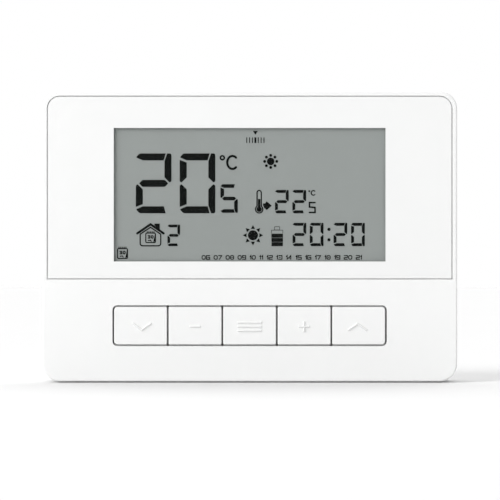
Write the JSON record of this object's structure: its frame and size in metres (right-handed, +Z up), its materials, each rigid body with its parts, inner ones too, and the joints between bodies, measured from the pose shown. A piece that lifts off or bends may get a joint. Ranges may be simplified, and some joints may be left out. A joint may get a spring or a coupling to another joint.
{
  "type": "wall thermostat",
  "caption": "Wide white wall thermostat with a grey segment display above a row of flat push keys, on a pull-off wall plate with screw slots and terminals.",
  "frame": {"origin": "middle of the wall plate's back face, where it lies on the wall", "axes": "+X across the front to the right as seen by the user, +Y into the wall, +Z up; the front face looks along -Y"},
  "size_m": [0.13, 0.0285, 0.091],
  "materials": {
    "cover": "satin white moulded ABS with a very fine spark texture",
    "fascia": "satin white moulded ABS, a little smoother than the cover",
    "keys": "satin white moulded ABS with raised symbols",
    "lens": "clear acrylic window",
    "polariser": "thin grey-green polarising film with a matt face",
    "display_glass": "thin soda-lime glass",
    "reflector": "grey-green reflective film with a fine grain",
    "light_guide": "frosted acrylic",
    "led": "moulded lamp package with a yellow phosphor face",
    "inner_plastic": "plain white moulded plastic",
    "zebra_rubber": "layered conductive silicone rubber",
    "board": "glass-fibre board under green solder mask",
    "black_plastic": "black moulded plastic",
    "relay_plastic": "blue moulded relay case",
    "capacitor_sleeve": "shrunk dark blue sleeve",
    "terminal_plastic": "green moulded polyamide",
    "steel": "nickel-plated steel",
    "brass": "tinned brass",
    "battery": "printed foil sleeve over a steel can",
    "wall_plate": "satin white moulded ABS"
  },
  "bodies": {
    "wall_plate": {"wall_plate": "wall_plate", "terminal_block": "terminal_plastic", "terminal_clamps": "brass", "terminal_screws": "steel"},
    "front_unit": {"front_cover": "cover", "fascia_panel": "fascia", "display_lens": "lens", "lcd_front_polariser": "polariser", "lcd_front_glass": "display_glass", "lcd_rear_glass": "display_glass", "lcd_reflector": "reflector", "light_guide": "light_guide", "backlight_leds": "led", "lcd_frame": "inner_plastic", "zebra_strip_top": "zebra_rubber", "zebra_strip_bottom": "zebra_rubber", "main_board": "board", "controller_chip": "black_plastic", "crystal": "steel", "relay": "relay_plastic", "capacitor": "capacitor_sleeve", "temperature_sensor": "black_plastic", "pin_header": "black_plastic", "header_pins": "brass", "key_guide": "inner_plastic", "switch_body_down": "black_plastic", "switch_body_minus": "black_plastic", "switch_body_menu": "black_plastic", "switch_body_plus": "black_plastic", "switch_body_up": "black_plastic", "rear_cover": "cover", "battery_cell_upper": "battery", "battery_cell_lower": "battery", "battery_spring_upper": "steel", "battery_spring_lower": "steel", "battery_link_plate": "steel", "battery_plate_positive": "steel", "battery_plate_negative": "steel", "board_screws": "steel", "case_screws": "steel"},
    "key_down": {"key_cap_down": "keys", "switch_plunger_down": "black_plastic"},
    "key_minus": {"key_cap_minus": "keys", "switch_plunger_minus": "black_plastic"},
    "key_menu": {"key_cap_menu": "keys", "switch_plunger_menu": "black_plastic"},
    "key_plus": {"key_cap_plus": "keys", "switch_plunger_plus": "black_plastic"},
    "key_up": {"key_cap_up": "keys", "switch_plunger_up": "black_plastic"}
  },
  "joints": [
    {"name": "front_unit_pull", "type": "slide", "parent": "wall_plate", "child": "front_unit", "axis": [0, -1, 0], "range_m": [0, 0.03]},
    {"name": "key_down_press", "type": "slide", "parent": "front_unit", "child": "key_down", "axis": [0, 1, 0], "range_m": [0, 0.0005], "stiffness_N_per_m": 3000, "springref_m": -0.0003},
    {"name": "key_minus_press", "type": "slide", "parent": "front_unit", "child": "key_minus", "axis": [0, 1, 0], "range_m": [0, 0.0005], "stiffness_N_per_m": 3000, "springref_m": -0.0003},
    {"name": "key_menu_press", "type": "slide", "parent": "front_unit", "child": "key_menu", "axis": [0, 1, 0], "range_m": [0, 0.0005], "stiffness_N_per_m": 3000, "springref_m": -0.0003},
    {"name": "key_plus_press", "type": "slide", "parent": "front_unit", "child": "key_plus", "axis": [0, 1, 0], "range_m": [0, 0.0005], "stiffness_N_per_m": 3000, "springref_m": -0.0003},
    {"name": "key_up_press", "type": "slide", "parent": "front_unit", "child": "key_up", "axis": [0, 1, 0], "range_m": [0, 0.0005], "stiffness_N_per_m": 3000, "springref_m": -0.0003}
  ]
}
